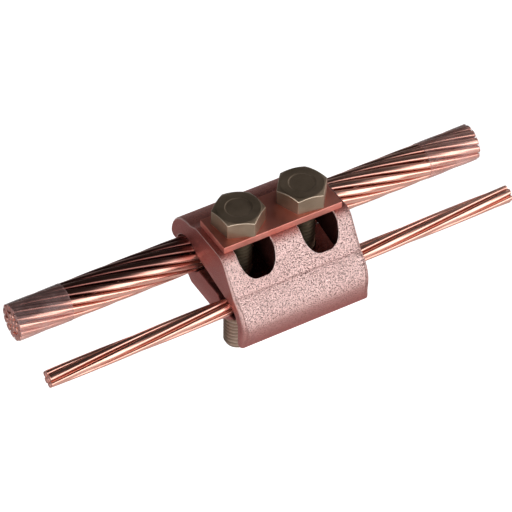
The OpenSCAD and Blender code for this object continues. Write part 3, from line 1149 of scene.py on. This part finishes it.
# Tape, drawn in between the outer wires
def make_tape(node_name, material):
    low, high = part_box(node_name)
    bm = bmesh.new()
    radius = high.y - FILM_INSET * MM
    length = high.x - low.x
    add_ring(bm, FILM_SIDES, radius, (low.x, 0, 0))
    bmesh.ops.spin(bm, geom=list(bm.verts) + list(bm.edges), cent=(0, 0, 0), axis=X_AXIS,
                   dvec=(length / FILM_STEPS, 0, 0), angle=FILM_TURN, steps=FILM_STEPS)
    turn = 2 * math.pi / (MAIN_OUTER_LAY * MM)
    half = MAIN_SECTOR / 2
    chord = 2 * MAIN_LAYER_R * math.cos(half) + MAIN_WIRE_D / 2 + FILM_CLEAR
    for v in bm.verts:
        angle = math.atan2(v.co.y, -v.co.z)
        off = (angle - turn * v.co.x + half) % MAIN_SECTOR - half
        hull = chord / math.cos(abs(off) - half)
        share = min(hull, radius / MM) / (radius / MM)
        v.co.y *= share
        v.co.z *= share
    bmesh.ops.recalc_face_normals(bm, faces=bm.faces)
    tape = new_object(node_name + "_film", bm)
    wall = tape.modifiers.new("film", "SOLIDIFY")
    wall.thickness = FILM_T * MM
    wall.offset = 1.0
    keep_modifiers(tape)
    mark_end_faces(tape)
    smooth(tape, degrees=60)
    dress(tape, "clamp_top", node_name, material)


# Studio
def make_floor():
    bm = bmesh.new()
    bmesh.ops.create_grid(bm, x_segments=1, y_segments=1, size=FLOOR_REACH,
                          matrix=Matrix.Translation((0, 0, cad_low.z - FLOOR_GAP)))
    floor = new_object("studio_floor", bm)
    material = bpy.data.materials.new("pale_floor")
    material.use_nodes = True
    tree = material.node_tree
    shader = tree.nodes["Principled BSDF"]
    shader.inputs["Base Color"].default_value = grey(0.5)
    shader.inputs["Roughness"].default_value = 0.8
    shader.inputs["Emission Color"].default_value = grey(1)
    ray = node(tree, "ShaderNodeLightPath", (-600, 0))
    glow = spread(tree, (-300, 0), ray.outputs["Is Camera Ray"], 0.3, 1.0)
    tree.links.new(glow, shader.inputs["Emission Strength"])
    floor.data.materials.append(material)


def make_light(name, place, size, power, aim=(0, -0.01, 0)):
    data = bpy.data.lights.new(name, "AREA")
    data.shape = "RECTANGLE"
    data.size, data.size_y = size
    data.energy = power
    light = bpy.data.objects.new(name, data)
    light.location = place
    light.rotation_euler = (Vector(aim) - Vector(place)).to_track_quat("-Z", "Y").to_euler()
    light.visible_camera = False
    bpy.context.scene.collection.objects.link(light)


def make_world():
    world = bpy.data.worlds.new("studio")
    bpy.context.scene.world = world
    world.use_nodes = True
    tree = world.node_tree
    back = tree.nodes["Background"]
    way = node(tree, "ShaderNodeTexCoord", (-900, 0))
    parts = parts_of(tree, (-700, 0), way.outputs["Generated"])
    lean = maths(tree, (-550, -200), "MULTIPLY_ADD", parts["Y"], FRONT_LEAN, parts["Z"])
    shift = spread(tree, (-550, 0), lean, 0.0, 1.0, start=-FRONT_LEAN)
    tree.links.new(ramp(tree, (-450, 0), shift, SKY_LEVELS), back.inputs["Color"])
    back.inputs["Strength"].default_value = 1.0


def make_camera():
    azimuth = math.radians(CAMERA_AZIMUTH)
    elevation = math.radians(CAMERA_ELEVATION)
    roll = math.radians(CAMERA_ROLL)
    back = Vector((math.sin(azimuth) * math.cos(elevation),
                   -math.cos(azimuth) * math.cos(elevation),
                   math.sin(elevation)))
    level = Vector((math.cos(azimuth), math.sin(azimuth), 0))
    upright = back.cross(level)
    right = math.cos(roll) * level + math.sin(roll) * upright
    up = math.cos(roll) * upright - math.sin(roll) * level
    data = bpy.data.cameras.new("photo_camera")
    data.sensor_width = CAMERA_SENSOR
    data.lens = CAMERA_LENS
    data.clip_start = CAMERA_NEAR * MM
    camera = bpy.data.objects.new("photo_camera", data)
    place = (CAMERA_DISTANCE * back + CAMERA_RIGHT * right + CAMERA_UP * up) * MM
    place.x += CAMERA_NUDGE * MM
    camera.matrix_world = Matrix.Translation(place) @ Matrix((right, up, back)).transposed().to_4x4()
    bpy.context.scene.collection.objects.link(camera)
    bpy.context.scene.camera = camera


grain = make_grain_group()
drawn = make_drawn_group()
cast_copper = make_cast_copper(grain)
make_saddle(cast_copper)
make_jaw(cast_copper)
make_plate(make_rolled_copper(drawn))
bolt_steel = make_bolt_steel(drawn, grain)
make_bolt("bolt_left", -BOLT_X, "left_bolt", bolt_steel)
make_bolt("bolt_right", BOLT_X, "right_bolt", bolt_steel)
bright_copper = make_drawn_copper(drawn)
make_main_conductor(bright_copper)
make_tap_conductor(bright_copper)
clear_tape = make_clear_tape(drawn)
make_tape("end_tape_left", clear_tape)
make_tape("end_tape_right", clear_tape)

make_floor()
make_light("front_softbox", (0.36, -0.87, 0.31), (2.2, 0.66), 11.0)
make_light("right_card", (0.16, -0.21, 0.18), (0.16, 0.2), 0.05, aim=(0.045, 0, 0))
make_light("left_softbox", (-0.78, -0.36, 0.4), (0.55, 0.45), 3.6)
make_light("right_softbox", (0.64, 0.25, 0.5), (0.5, 0.7), 0.8, aim=(0.64, 0.25, 0))
make_light("rim_softbox", (-0.72, -0.6, 0.16), (0.4, 0.3), 2.2)
make_light("back_softbox", (0.1, 0.9, 0.22), (0.7, 0.25), 0.15)
make_world()
make_camera()
bpy.context.scene.view_settings.view_transform = "Standard"
